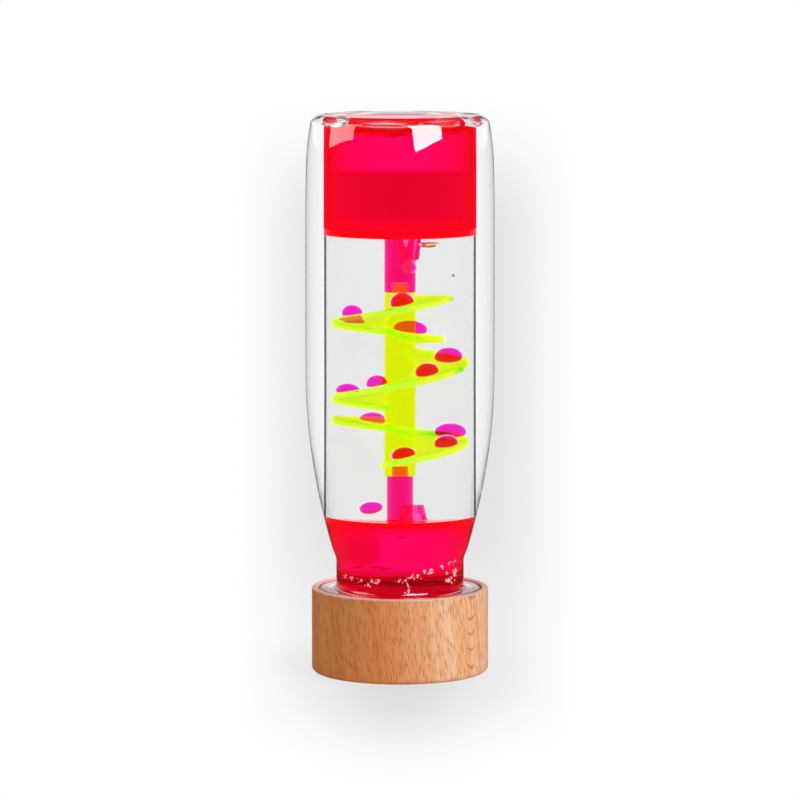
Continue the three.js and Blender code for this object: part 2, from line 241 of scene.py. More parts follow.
def ranged(tree, value, low, high, first=0.0, last=1.0, shape="SMOOTHSTEP"):
    limits = {"Value": value, "From Min": low, "From Max": high, "To Min": first, "To Max": last}
    return addNode(tree, "MapRange", limits, interpolation_type=shape).outputs[0]


def mixed(tree, factor, a, b):
    return addNode(tree, "Mix", {"Factor": factor, 6: a, 7: b}, data_type="RGBA").outputs[2]


def noiseOf(tree, place, scale, detail, roughness=0.5):
    inputs = {"Vector": place, "Scale": scale, "Detail": detail, "Roughness": roughness}
    return addNode(tree, "TexNoise", inputs).outputs["Fac"]


def colorRamp(tree, factor, *stops):
    ramp = addNode(tree, "ValToRGB", {"Fac": factor})
    for element, (position, color) in zip(ramp.color_ramp.elements, stops):
        element.position = position
        element.color = (*color, 1)
    return ramp.outputs["Color"]


def objectPlace(tree):
    return addNode(tree, "TexCoord").outputs["Object"]


def splitPlace(tree, place):
    return addNode(tree, "SeparateXYZ", {0: place}).outputs


# Distance from the bottle's axis
def axisReach(tree, place):
    flat = addNode(tree, "VectorMath", {0: place, 1: (1, 1, 0)}, operation="MULTIPLY")
    return addNode(tree, "VectorMath", {0: flat.outputs[0]}, operation="LENGTH").outputs["Value"]


def addBump(tree, shader, height, strength, distance):
    bump = addNode(tree, "Bump", {"Height": height, "Strength": strength, "Distance": distance})
    setInputs(tree, shader, {"Normal": bump.outputs["Normal"]})


def showMix(tree, factor, first, second):
    mix = addNode(tree, "MixShader", {0: factor, 1: first.outputs[0], 2: second.outputs[0]})
    setInputs(tree, tree.nodes["Material Output"], {"Surface": mix.outputs[0]})


clear = (1, 1, 1)
clearTone = {"scale": 40.0, "low": (0.988, 0.99, 0.99)}
toneRange = (0.35, 0.65)
soakMargin = 1.05  # keeps the strongest channel's colour above black


# Clear or tinted finish; ior is set against what lies on the other side of the surface
def clearFinish(name, ior, tone=clearTone, tint=clear, glow=None, soak=None, ripple=None, mirror=1.0):
    material, tree, shader = startMaterial(name)
    setInputs(tree, shader, {
        "Transmission Weight": 1.0,
        "IOR": ior,
        "Roughness": 0.0,
        "Specular Tint": (mirror, mirror, mirror),
        "Base Color": tint,
    })
    if tone:
        noise = noiseOf(tree, objectPlace(tree), tone["scale"], detail=3.0)
        streaks = colorRamp(tree, noise, *zip(toneRange, (tone["low"], tint)))
        setInputs(tree, shader, {"Base Color": streaks})
    if ripple:
        noise = noiseOf(tree, objectPlace(tree), ripple["scale"], detail=1.0)
        addBump(tree, shader, noise, ripple["strength"], ripple["depth"])
    if glow:
        setInputs(tree, shader, {"Emission Color": glow["color"], "Emission Strength": glow["strength"]})
    if soak:
        dense = soakMargin * max(soak)
        color = tuple(1 - k / dense for k in soak)
        depth = addNode(tree, "VolumeAbsorption", {"Density": dense / mm, "Color": color})
        setInputs(tree, tree.nodes["Material Output"], {"Volume": depth.outputs[0]})

    # shadows take the tint alone
    through = addNode(tree, "BsdfTransparent", {"Color": tint})
    showMix(tree, addNode(tree, "LightPath").outputs["Is Shadow Ray"], shader, through)
    return material


index = {"air": 1.0, "bottle": 1.57, "fill": 1.34, "tube": 1.46, "acrylic": 1.49, "oil": 1.41, "dye": 1.345}

# What each tinted stuff takes out of red, green and blue light, per millimetre
soaks = {
    "cup": (0.008, 2.1, 0.35),
    "plate": (0.0, 0.85, 0.25),
    "yellow": (0.03, 0.006, 1.5),
    "flight": (0.045, 0.006, 2.0),
    "drop": (0.006, 1.4, 0.075),
    "pool": (0.007, 0.4, 0.05),
    "lowerPool": (0.011, 0.4, 0.045),
    "cloud": (0.008, 0.4, 0.06),
    "wisp": (0.3, 3.0, 0.9),
}

bottleRipple = {"scale": 30.0, "strength": 0.05, "depth": 0.0004}
topRipple = {"scale": 75.0, "strength": 0.5, "depth": 0.0012}
bottleOutside = clearFinish("bottleOutside", index["bottle"], ripple=bottleRipple)
bottleTop = clearFinish("bottleTop", index["bottle"], ripple=topRipple)
bottleInside = clearFinish("bottleInside", index["bottle"] / index["fill"], mirror=0.1)
tubeOutside = clearFinish("tubeOutside", index["tube"] / index["fill"])
tubeInside = clearFinish("tubeInside", index["tube"] / index["oil"])
airInFoam = clearFinish("airInFoam", index["air"] / index["fill"])
airInFill = clearFinish("airInFill", index["air"] / index["fill"])
airInOil = clearFinish("airInOil", index["air"] / index["oil"])

# Tinted pieces that hardly bend light, so outlines stay straight through them
flush = {"cup": 1.004, "column": 1.003, "flight": 1.008, "dye": 1.002, "cloud": 1.001, "film": 1.002}
# painted shade: grey film on the tube, with a painted dark line at its edges
shadeFilmFinish = clearFinish("shadeFilmFinish", flush["film"], None, (0.935, 0.935, 0.937))
cupTone = {"scale": 45.0, "low": (1.0, 0.9, 0.6)}
cupTint = (1, 1, 0.64)
cupGlow = {"color": (1.0, 0.0, 0.06), "strength": 0.03}
cupPink = clearFinish("cupPink", flush["cup"], cupTone, cupTint, cupGlow, soaks["cup"])
plateTone = {"scale": 45.0, "low": (1.0, 0.9, 0.93)}
plateGlow = {"color": (1.0, 0.0, 0.1), "strength": 0.06}
plateIndex = index["acrylic"] / index["oil"]
platePink = clearFinish("platePink", plateIndex, plateTone, clear, plateGlow, soaks["plate"])
yellowTone = {"scale": 70.0, "low": (0.97, 0.98, 0.9)}
yellowTint = (0.98, 1, 0.9)
yellowGlow = {"color": (0.62, 0.8, 0.0), "strength": 0.06}
yellowClear = clearFinish("yellowClear", flush["column"], yellowTone, yellowTint, yellowGlow, soaks["yellow"])
flightYellow = clearFinish("flightYellow", flush["flight"], yellowTone, yellowTint, None, soaks["flight"])
dyeTone = {"scale": 300.0, "low": (1.0, 0.8, 0.95)}
dropGlow = {"color": (1.0, 0.28, 0.0), "strength": 0.06}
dropDye = clearFinish("dropDye", index["dye"] / index["oil"], dyeTone, clear, dropGlow, soaks["drop"])
poolDye = clearFinish("poolDye", flush["dye"], dyeTone, soak=soaks["pool"])
lowerPoolDye = clearFinish("lowerPoolDye", flush["dye"], dyeTone, soak=soaks["lowerPool"])
darkCloudFinish = clearFinish("darkCloudFinish", flush["cloud"], dyeTone, soak=soaks["cloud"])
darkWispFinish = clearFinish("darkWispFinish", flush["dye"], dyeTone, soak=soaks["wisp"])

# Painted glow: the ledge round the neck is tinted dark red and glows faintly at its edge, standing in for the
# cup's pink light carried there
ledgeGlowPaint = {"from": 26.3, "full": 27.2, "below": 31.0, "tone": (0.5, 0.01, 0.04), "strength": 0.08}


def paintLedgeGlow(material):
    tree, shader = openMaterial(material)
    place = objectPlace(tree)
    rim = ranged(tree, axisReach(tree, place), ledgeGlowPaint["from"] * mm, ledgeGlowPaint["full"] * mm, shape="LINEAR")
    low = sums(tree, "LESS_THAN", splitPlace(tree, place)[2], ledgeGlowPaint["below"] * mm)
    edge = sums(tree, "MULTIPLY", rim, low)
    plain = shader.inputs["Base Color"].links[0].from_socket
    # painted red tint and glow at the ledge's edge
    setInputs(tree, shader, {
        "Base Color": mixed(tree, edge, plain, ledgeGlowPaint["tone"]),
        "Emission Color": ledgeGlowPaint["tone"],
        "Emission Strength": sums(tree, "MULTIPLY", edge, ledgeGlowPaint["strength"]),
    })


paintLedgeGlow(bottleOutside)

# The flights glow along their rims; here and there, mostly to the right, the glow turns green
rims = {
    "from": 16.3,
    "full": 16.65,
    "glow": (0.06, 0.2),
    "patchScale": 75.0,
    "rightward": 4.0,
    "patchEdge": (0.31, 0.38),
    "glowColors": ((0.05, 0.85, 0.08), (0.85, 1.0, 0.2)),
    "tints": ((0.12, 0.85, 0.35), (0.98, 1.0, 0.9)),
}


def rimGlow(material):
    tree, shader = openMaterial(material)
    place = objectPlace(tree)
    rightward = sums(tree, "MULTIPLY", splitPlace(tree, place)[0], rims["rightward"])
    patches = sums(tree, "SUBTRACT", noiseOf(tree, place, rims["patchScale"], detail=2.0), rightward)
    edge = ranged(tree, axisReach(tree, place), rims["from"] * mm, rims["full"] * mm, shape="LINEAR")
    plain = shader.inputs["Base Color"].links[0].from_socket
    tint = colorRamp(tree, patches, *zip(rims["patchEdge"], rims["tints"]))
    setInputs(tree, shader, {
        "Base Color": mixed(tree, edge, plain, tint),
        "Emission Color": colorRamp(tree, patches, *zip(rims["patchEdge"], rims["glowColors"])),
        "Emission Strength": ranged(tree, edge, 0, 1, *rims["glow"], "LINEAR"),
    })


rimGlow(flightYellow)

# Froth has a painted highlight: a glow on the side that faces up and to the front
froth = {"towards": (0.25, -0.75, 0.6), "spot": (0.84, 0.94), "level": 0.9, "color": (1.0, 0.9, 0.9)}


def paintFrothHighlight(material):
    tree, shader = openMaterial(material)
    normal = addNode(tree, "NewGeometry").outputs["Normal"]
    towards = Vector(froth["towards"]).normalized()
    facing = addNode(tree, "VectorMath", {0: normal, 1: towards}, operation="DOT_PRODUCT").outputs["Value"]
    # painted highlight
    setInputs(tree, shader, {
        "Emission Color": froth["color"],
        "Emission Strength": ranged(tree, facing, *froth["spot"], 0.0, froth["level"], "LINEAR"),
    })


paintFrothHighlight(airInFoam)

# Painted shade: a clear wall is given a thin dark line where it is met edge-on
edgeShadePaint = {"range": (0.74, 0.82), "tone": (0.3, 0.3, 0.33)}


def paintEdgeShade(material):
    tree, shader = openMaterial(material)
    facing = addNode(tree, "LayerWeight", {"Blend": 0.5}).outputs["Facing"]
    line = ranged(tree, facing, *edgeShadePaint["range"], shape="LINEAR")
    plain = tuple(shader.inputs["Base Color"].default_value)[:3]
    # painted dark edge line
    setInputs(tree, shader, {"Base Color": mixed(tree, line, plain, edgeShadePaint["tone"])})


paintEdgeShade(shadeFilmFinish)
print("clear finishes made")


# Beech: short dark flecks along the upright grain, soft stripes, and a stack of arcs where the
# year rings run out of the side. Grains are (across, along, detail, roughness), noises (scale, detail).
beech = {
    "pale": (0.8, 0.3, 0.084),
    "mid": (0.74, 0.22, 0.047),
    "stripe": (0.6, 0.16, 0.034),
    # painted sheen on the side towards the key lamp
    "paintedSheen": (0.8, 0.53, 0.32),
    # painted shade in the bored inside
    "inside": (0.22, 0.085, 0.04),
    # painted sheen on the rim's top
    "rim": (0.6, 0.45, 0.39),
    "fleck": (0.46, 0.105, 0.017),
    "turnRadius": 0.0305,
    "lean": 0.14,
    "stripeGrain": (330, 9, 4.0, 0.6),
    "stripeRange": (0.36, 0.66),
    "paintedSheenGrain": (520, 12, 3.0, 0.6),
    "streakRange": (0.35, 0.65),
    "paintedSheenTowards": 65,
    "paintedSheenRange": (0.22, 0.95),
    "paintedSheenLeast": 0.45,
    "fibreGrain": (2600, 70, 5.0, 0.7),
    "fibreRange": (0.5, 0.78),
    "fibreShare": 0.5,
    "fleckAcross": 1450,
    "fleckAlong": 160,
    "fleckDeep": 300,
    "wanderNoise": (260, 2.0),
    "fleckWander": 0.0005,
    "fleckRange": (0.1, 0.34),
    "fleckSome": (0.0, 0.5),
    "fleckShare": 0.75,
    "fleckDip": 0.25,
    "arcBearing": 0.0283,
    "arcBend": 240,
    "arcRepeat": 1080,
    "unevenNoise": (120, 1.0),
    "arcUneven": 0.006,
    "arcRange": (0.72, 1.0),
    "arcWidth": (0.0016, 0.0026),
    "arcShare": 0.6,
    "boreRange": (0.0283, 0.0291),
    "boreRise": (0.005, 0.01),
    "rimRise": (0.0287, 0.0291),
    "rimShare": 0.9,
    "relief": (0.2, 0.00012),
}


def beechFinish():
    material, tree, shader = startMaterial("beech")
    plus, minus, times, over = sumsOf(tree)
    calc, part, blend = partial(sums, tree), partial(ranged, tree), partial(mixed, tree)
    place = objectPlace(tree)
    x, y, z = splitPlace(tree, place)
    around = times(calc("ARCTAN2", x, times(y, -1)), beech["turnRadius"])
    leaning = plus(around, times(z, beech["lean"]))
    reach = calc("SQRT", plus(times(x, x), times(y, y)))
    lean = times(z, beech["lean"] / beech["turnRadius"])
    twist = addNode(tree, "VectorRotate", {"Vector": place, "Angle": lean}, rotation_type="Z_AXIS").outputs[0]

    def grain(across, along, detail, roughness):
        spread = addNode(tree, "VectorMath", {0: twist, 1: (across, across, along)}, operation="MULTIPLY")
        return noiseOf(tree, spread.outputs[0], 1.0, detail, roughness)

    # broad stripes along the grain; painted sheen, paler wood towards the side where the key lamp stands, in
    # streaks along the grain; fine fibres
    color = blend(part(grain(*beech["stripeGrain"]), *beech["stripeRange"]), beech["mid"], beech["pale"])
    aimed = math.radians(beech["paintedSheenTowards"])
    side = minus(times(x, math.sin(aimed)), times(y, math.cos(aimed)))
    paintedSheen = part(over(side, beech["turnRadius"]), *beech["paintedSheenRange"])
    streaks = part(grain(*beech["paintedSheenGrain"]), *beech["streakRange"], beech["paintedSheenLeast"], 1.0)
    color = blend(times(paintedSheen, streaks), color, beech["paintedSheen"])
    fibres = grain(*beech["fibreGrain"])
    dark = part(fibres, *beech["fibreRange"], 0.0, beech["fibreShare"])
    color = blend(dark, color, beech["stripe"])

    # flecks
    wander = times(noiseOf(tree, place, *beech["wanderNoise"]), beech["fleckWander"])
    spots = addNode(tree, "CombineXYZ", {
        0: times(plus(leaning, wander), beech["fleckAcross"]),
        1: times(z, beech["fleckAlong"]),
        2: times(reach, beech["fleckDeep"]),
    }).outputs[0]
    cells = addNode(tree, "TexVoronoi", {"Vector": spots, "Scale": 1.0}, voronoi_dimensions="2D").outputs
    some = addNode(tree, "SeparateColor", {0: cells["Color"]}).outputs[0]
    flecks = part(cells["Distance"], *beech["fleckRange"], 1.0, 0.0)
    flecks = times(flecks, part(some, *beech["fleckSome"]))
    color = blend(times(flecks, beech["fleckShare"]), color, beech["fleck"])

    # stack of arcs
    aside = minus(around, beech["arcBearing"])
    bowl = minus(z, times(times(aside, aside), beech["arcBend"]))
    uneven = times(noiseOf(tree, place, *beech["unevenNoise"]), beech["arcUneven"])
    waves = calc("SINE", times(plus(bowl, uneven), beech["arcRepeat"]))
    near = part(calc("ABSOLUTE", aside), *beech["arcWidth"], 1.0, 0.0)
    arcs = times(part(waves, *beech["arcRange"]), near)
    color = blend(times(arcs, beech["arcShare"]), color, beech["fleck"])

    # painted shade darkens the bored inside; painted sheen makes the rim's top paler and greyer
    inside = part(reach, *beech["boreRange"], 1.0, 0.0)
    color = blend(times(inside, part(z, *beech["boreRise"])), color, beech["inside"])
    # painted sheen: the rim's top paler and greyer
    color = blend(part(z, *beech["rimRise"], 0.0, beech["rimShare"]), color, beech["rim"])

    setInputs(tree, shader, {"Base Color": color, "Roughness": 0.55, "Specular IOR Level": 0.25})
    addBump(tree, shader, minus(fibres, times(flecks, beech["fleckDip"])), *beech["relief"])
    return material


beechWood = beechFinish()


wornShade = 0.9


def mouldedFinish(name, color, roughness, scale, bump):
    material, tree, shader = startMaterial(name)
    noise = noiseOf(tree, objectPlace(tree), scale, detail=4.0)
    worn = tuple(wornShade * c for c in color)
    mottled = colorRamp(tree, noise, (0, worn), (1, color))
    setInputs(tree, shader, {"Base Color": mottled, "Roughness": roughness})
    addBump(tree, shader, noise, *bump)
    return material


capPlastic = mouldedFinish("capPlastic", (0.45, 0.43, 0.43), roughness=0.4, scale=900, bump=(0.2, 0.0001))
darkSpeck = mouldedFinish("darkSpeck", (0.02, 0.02, 0.022), roughness=0.5, scale=2500, bump=(0.3, 0.0001))
linerFoam = mouldedFinish("linerFoam", (0.3, 0.3, 0.3), roughness=0.9, scale=1600, bump=(0.6, 0.0002))
for node, material in (("screw_cap", capPlastic), ("sealing_liner", linerFoam)):
    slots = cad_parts[node].data.materials
    slots.clear()
    slots.append(material)
print("beech, cap and liner finished")


# Wooden base: turned cup with a rounded foot and a thin softened rim
base = {
    "radius": 30.5,
    "height": 29.3,
    "underside": 20.0,
    "footRound": 1.8,
    "rimRound": 0.6,
    "rimBore": 28.3,
    "stepHeight": 26.4,
    "capBore": 26.05,
    "floor": 10.6,
}


def makeBase():
    foot, rim = base["footRound"], base["rimRound"]
    profile = [(0, 0), (base["underside"], 0)]
    profile += arcPoints((base["radius"] - foot, foot), foot, -90, 0, 10)
    profile += arcPoints((base["radius"] - rim, base["height"] - rim), rim, 0, 90, 6)
    profile += arcPoints((base["rimBore"] + rim / 2, base["height"] - rim / 2), rim / 2, 90, 180, 5)
    profile += [
        (base["rimBore"], base["stepHeight"]),
        (base["capBore"], base["stepHeight"]),
        (base["capBore"], base["floor"]),
        (0, base["floor"]),
    ]
    settle(turnedObject("woodenCup", profile, [beechWood], segments=192), "base", "beech", "wooden_base")


makeBase()
print("base turned")


# Bottle: same outline as the solid, drawn finer
bottle = {
    "wall": 1.6,
    "bodyRadius": 32.5,
    "neckRadius": 22.0,
    "lip": 15.0,
    "ledge": 27.0,
    "ledgeTop": 29.0,
    "ledgeRadius": 27.7,
    "ledgeFillet": 1.3,
    "ledgeTopBreak": 0.5,
    "ledgeFootBreak": 0.4,
    "neckTop": 38.6,
    "shoulder": 43.6,
    "shoulderFlare": 1.6,
    "shoulderTop": 104.6,
    "top": 192.4,
    "cornerHeight": 2.6,
    "topInset": 1.9,
    "leanHeight": 10.6,
    "leanInset": 0.55,
    "topLean": 38.0,
    "standRadius": 26.2,
    "standBore": 23.2,
    "punt": 191.2,
    "puntFlat": 8.0,
    "topSteps": 25,  # steps of the outline from the punt that have the uneven finish
    # handles of the outline's curves, from the punt down to the neck
    "ease": {
        "punt": 7.0, "stand": 4.0, "corner": 2.4, "cornerRise": 1.05, "cornerTuck": 0.35,
        "lean": 4.0, "leanSwell": 0.7, "bandRise": 3.0, "bandTuck": 0.17, "band": 4.5, "bandSwell": 0.3,
        "bodyRise": 20.0, "shoulder": 22.6, "shoulderRise": 18.9, "shoulderSwell": 5.4,
        "foot": 2.5, "footTuck": 0.9, "neckRise": 1.2,
    },
}
thread = {
    "pitch": 4.2,
    "turns": 1.25,
    "depth": 1.1,
    "root": 1.5,
    "crest": 0.8,
    "start": 17.2,
    "runOut": 50,
    "least": 0.15,
    "sink": 0.02,
}


def bottleSkin():
    ease, body, neck = bottle["ease"], bottle["bodyRadius"], bottle["neckRadius"]
    lean, leanZ = body - bottle["topInset"], bottle["top"] - bottle["cornerHeight"]
    band, bandZ = body - bottle["leanInset"], leanZ - bottle["leanHeight"]
    bodyZ, shoulderZ = bandZ - bottle["topLean"], bottle["shoulder"]
    flare = neck + bottle["shoulderFlare"]
    top, punt, flat = bottle["top"], bottle["punt"], bottle["puntFlat"]
    skin = [(0, punt), (flat / 2, punt)]
    skin += cubicPoints((flat, punt), (flat + ease["punt"], punt),
                        (bottle["standBore"] - ease["stand"], top), (bottle["standBore"], top), 14)
    skin += cubicPoints((bottle["standRadius"], top), (bottle["standRadius"] + ease["corner"], top),
                        (lean - ease["cornerTuck"], leanZ + ease["cornerRise"]), (lean, leanZ), 16)
    skin += cubicPoints((lean, leanZ), (lean + ease["leanSwell"], leanZ - ease["lean"]),
                        (band - ease["bandTuck"], bandZ + ease["bandRise"]), (band, bandZ), 14)[1:]
    skin += cubicPoints((band, bandZ), (band + ease["bandSwell"], bandZ - ease["band"]),
                        (body, bodyZ + ease["bodyRise"]), (body, bodyZ), 16)[1:]
    skin += cubicPoints((body, bottle["shoulderTop"]), (body, bottle["shoulderTop"] - ease["shoulder"]),
                        (flare + ease["shoulderSwell"], shoulderZ + ease["shoulderRise"]),
                        (flare, shoulderZ), 28)
    skin += cubicPoints((flare, shoulderZ), (flare - ease["footTuck"], shoulderZ - ease["foot"]),
                        (neck, bottle["neckTop"] + ease["neckRise"]), (neck, bottle["neckTop"]), 10)[1:]
    skin.append((neck, bottle["lip"]))
    return skin


# The same line moved inwards, square to itself
def insideLine(skin, distance):
    inner = []
    for i, (radius, height) in enumerate(skin):
        before = skin[max(0, i - 1)]
        after = skin[min(len(skin) - 1, i + 1)]
        along = Vector((after[0] - before[0], after[1] - before[1])).normalized()
        inner.append((max(0, radius + along.y * distance), height - along.x * distance))
    inner[0] = (0, skin[0][1] - distance)
    return inner


# Section of the neck's thread at a share t of its length
def threadSection(t):
    fade = min(1, thread["least"] + 360 * thread["turns"] * min(t, 1 - t) / thread["runOut"])
    z = thread["start"] + thread["pitch"] * thread["turns"] * t
    root = bottle["neckRadius"] - thread["sink"]
    crest = root + thread["depth"] * fade
    half = thread["root"] / 2
    narrow = half + (thread["crest"] / 2 - half) * fade
    return [(root, z - half), (crest, z - narrow), (crest, z + narrow), (root, z + half)]


def makeBottle():
    skin = bottleSkin()
    neck, rim = bottle["neckRadius"], bottle["ledgeRadius"]
    ledge, ledgeTop, fillet = bottle["ledge"], bottle["ledgeTop"], bottle["ledgeFillet"]
    upper, lower = bottle["ledgeTopBreak"], bottle["ledgeFootBreak"]
    outer = skin[:-1]
    outer += arcPoints((neck + fillet, ledgeTop + fillet), fillet, 180, 270, 8)
    outer += arcPoints((rim - upper, ledgeTop - upper), upper, 90, 0, 5)
    outer += arcPoints((rim - lower, ledge + lower), lower, 0, -90, 5)
    outer += [(neck, ledge), (neck, bottle["lip"])]
    profile = outer + insideLine(skin, bottle["wall"])[::-1]
    vertices, faces, sides = turnProfile(profile[::-1], segments=192)

    # finishes: 0 outside, 1 inside, 2 on the uneven top
    slots = []
    for k in sides:
        step = len(profile) - 2 - k
        slots.append(1 if step >= len(outer) else 2 if step < bottle["topSteps"] else 0)
    ridge, ridgeFaces = helixSweep(threadSection, lambda t: 360 * thread["turns"] * t, steps=90)
    joinInto(vertices, faces, ridge, ridgeFaces)
    slots += [0] * len(ridgeFaces)
    piece = meshObject("clearBottle", vertices, faces, [bottleOutside, bottleInside, bottleTop], slots)
    settle(piece, "bottle", "clear_plastic", "bottle_shell", "fill_liquid")


makeBottle()
print("bottle blown")


# Timer: tube, two cups closed by plates, column and three flights
timer = {
    "cupRadius": 19.55,
    "cupBore": 17.95,
    "cupEnd": 3.6,
    "cupRound": 0.8,
    "boreRound": 1.0,
    "tubeRadius": 19.3,
    "tubeBore": 17.2,
    "low": 16.8,
    "lowerPlate": 54.8,
    "upperPlate": 151.3,
    "plate": 2.2,
    "ringHeight": 2.5,
    "ringRadius": 17.65,
    "ringBore": 16.45,
    "seam": 0.02,
}
shadeFilm = {"ends": 0.2, "inner": 0.03, "outer": 0.1}  # film on the tube


def cupProfile():
    mouth = timer["lowerPlate"] - timer["plate"] - timer["seam"]
    low, wide, edge = timer["low"], timer["cupRadius"], timer["cupRound"]
    bore, floor, hollow = timer["cupBore"], timer["low"] + timer["cupEnd"], timer["boreRound"]
    profile = [(0, low), (wide / 2, low)]
    profile += arcPoints((wide - edge, low + edge), edge, -90, 0, 6)
    profile += [(wide, mouth), (bore, mouth)]
    profile += arcPoints((bore - hollow, floor + hollow), hollow, 0, -90, 6)
    profile += [(0, floor)]
    return profile


def makeCups():
    lower = cupProfile()
    middle = (timer["lowerPlate"] + timer["upperPlate"]) / 2
    upper = [(radius, 2 * middle - height) for radius, height in reversed(lower)]
    for name, profile in (("lower", lower), ("upper", upper)):
        settle(turnedObject(name + "Cup", profile, [cupPink]), "bottle", "pink_plastic", name + "_cup")


def sleeveProfile(inner, outer, gap):
    low, high = timer["lowerPlate"] + gap, timer["upperPlate"] - gap
    return [(inner, low), (outer, low), (outer, high), (inner, high)]


def makeTube():
    profile = sleeveProfile(timer["tubeBore"], timer["tubeRadius"], timer["seam"])
    finishes = [tubeOutside, tubeInside]
    boreSide = len(profile) - 1
    piece = turnedObject("clearTube", profile, finishes, lambda k: int(k == boreSide), isLoop=True)
    settle(piece, "bottle", "clear_plastic", "timer_tube")


# Painted shade: a thin grey film on the tube greys what is seen through it, and its finish darkens the tube's
# outline
def makeShadeFilm():
    skin = timer["tubeRadius"]
    profile = sleeveProfile(skin + shadeFilm["inner"], skin + shadeFilm["outer"], shadeFilm["ends"])
    settle(turnedObject("tubeShadeFilm", profile, [shadeFilmFinish], isLoop=True), "bottle", "clear_liquid")


makeCups()
makeTube()
makeShadeFilm()

# Plates: stub in the middle, drip spout beside it
dividers = {
    "upper": {"stub": 19.1, "radius": 3.8, "pegRadius": 2.3, "peg": -3.6, "bearing": -68, "spout": 7.6},
    "lower": {"stub": 15.3, "radius": 3.2, "pegRadius": 2.0, "peg": 3.3, "bearing": 65, "spout": 5.2},
}
stubEdges = {"foot": 0.5, "top": 0.2}
spout = {
    "reach": 6.65,
    "radius": 3.1,
    "flare": 0.4,
    "flareHeight": 0.5,
    "tip": 2.5,
    "tipBreak": 0.25,
    "bore": 1.2,
    "boreLength": 1.0,
    "mouth": 0.1,
    "funnel": 2.2,
    "seam": 0.02,
}


def plateProfile(part):
    radius, top, peg = part["radius"], part["stub"], part["pegRadius"]
    foot, edge = stubEdges["foot"], stubEdges["top"]
    back, ring = -timer["plate"], -timer["plate"] - timer["ringHeight"]
    profile = [
        (0, back),
        (timer["ringBore"], back),
        (timer["ringBore"], ring),
        (timer["ringRadius"], ring),
        (timer["ringRadius"], back),
        (timer["cupRadius"], back),
        (timer["cupRadius"], 0),
    ]
    profile += arcPoints((radius + foot, foot), foot, -90, -180, 4)
    profile += arcPoints((radius - edge, top - edge), edge, 0, 90, 3)
    profile += [(peg, top), (peg, top + part["peg"]), (0, top + part["peg"])]
    return profile


def spoutProfile(length):
    return [
        (spout["funnel"], spout["seam"]),
        (spout["radius"] + spout["flare"], spout["seam"]),
        (spout["radius"], spout["flareHeight"]),
        (spout["tip"] + spout["seam"], length - spout["tipBreak"]),
        (spout["tip"] - spout["tipBreak"], length),
        (spout["bore"] + spout["mouth"], length),
        (spout["bore"], length - spout["boreLength"]),
    ]


def makeDividers():
    for name, part in dividers.items():
        place = timer[name + "Plate"]
        turn = -1 if name == "upper" else 1
        vertices, faces, _ = turnProfile(plateProfile(part), segments=128)
        angle = math.radians(part["bearing"])
        asideX, asideY = spout["reach"] * math.cos(angle), spout["reach"] * math.sin(angle) * turn
        tip, tipFaces, _ = turnProfile(spoutProfile(part["spout"]), segments=64, isLoop=True)
        joinInto(vertices, faces, [(x + asideX, y + asideY, z) for x, y, z in tip], tipFaces)
        vertices = [(x, turn * y, place + turn * z) for x, y, z in vertices]
        piece = meshObject(name + "Plate", vertices, faces, [platePink])
        settle(piece, "bottle", "pink_plastic", name + "_divider")


makeDividers()

column = {
    "radius": 3.8,
    "low": 70.12,
    "high": 131.9,
    "edge": 0.25,
    "peg": 3.3,
    "pegRadius": 2.0,
    "socket": 2.3,
    "socketDepth": 3.6,
}


def makeColumn():
    low, high, edge = column["low"], column["high"], column["edge"]
    socket, roof = column["socket"], low + column["socketDepth"]
    peg, pegTop = column["pegRadius"], high + column["peg"]
    profile = [(0, roof), (socket, roof), (socket, low)]
    profile += arcPoints((column["radius"] - edge, low + edge), edge, -90, 0, 3)
    profile += arcPoints((column["radius"] - edge, high - edge), edge, 0, 90, 3)
    profile += [(peg, high), (peg, pegTop), (0, pegTop)]
    piece = turnedObject("yellowColumn", profile, [yellowClear], segments=96)
    settle(piece, "bottle", "yellow_plastic", "spiral_column")


makeColumn()

flights = {
    "bore": 3.85,
    "radius": 16.7,
    "rimBand": 4.0,
    "thickness": 2.0,
    "edge": 0.35,
    "stepDegrees": 2,
    "runs": [
        {"node": "ramp_upper", "bearing": -28, "sweep": 275, "start": 130.6, "pitch": 20.6},
        {"node": "ramp_middle", "bearing": 78, "sweep": 338, "start": 110.87, "pitch": 20.6},
        {"node": "ramp_lower", "bearing": 180, "sweep": 290, "start": 88.9, "pitch": 17.8},
    ],
}


def flightHeight(run, travel):
    return run["start"] - run["pitch"] * travel / 360


def makeFlights():
    half, edge, rim = flights["thickness"] / 2, flights["edge"], flights["radius"]
    band = rim - flights["rimBand"]
    section = [(flights["bore"], -half), (band, -half)]
    section += arcPoints((rim - edge, -half + edge), edge, -90, 0, 4)
    section += arcPoints((rim - edge, half - edge), edge, 0, 90, 4)
    section += [(band, half), (flights["bore"], half)]
    for number, run in enumerate(flights["runs"], 1):
        def sectionAt(t):
            z = flightHeight(run, run["sweep"] * t)
            return [(radius, z + height) for radius, height in section]

        steps = round(run["sweep"] / flights["stepDegrees"])
        vertices, faces = helixSweep(sectionAt, lambda t: run["bearing"] - run["sweep"] * t, steps)
        piece = meshObject("flight%d" % number, vertices, faces, [flightYellow])
        settle(piece, "bottle", "yellow_plastic", run["node"])


makeFlights()
print("timer assembled")


# Dyed liquid: pools in the cups, drops on the flights
pools = {
    "overlap": 0.03,  # into the cup's wall, so that no film of oil shows between them
    "upperLow": 153.5,
    "upperHigh": 173.0,
    "lowerLow": 20.4,
    "lowerHigh": 34.4,
    "climb": 0.5,
    "climbWidth": 0.4,
}


# Surface that climbs a little at the wall
def poolSurface(wide, high):
    return [(wide, high + pools["climb"]), (wide - pools["climbWidth"], high), (0, high)]


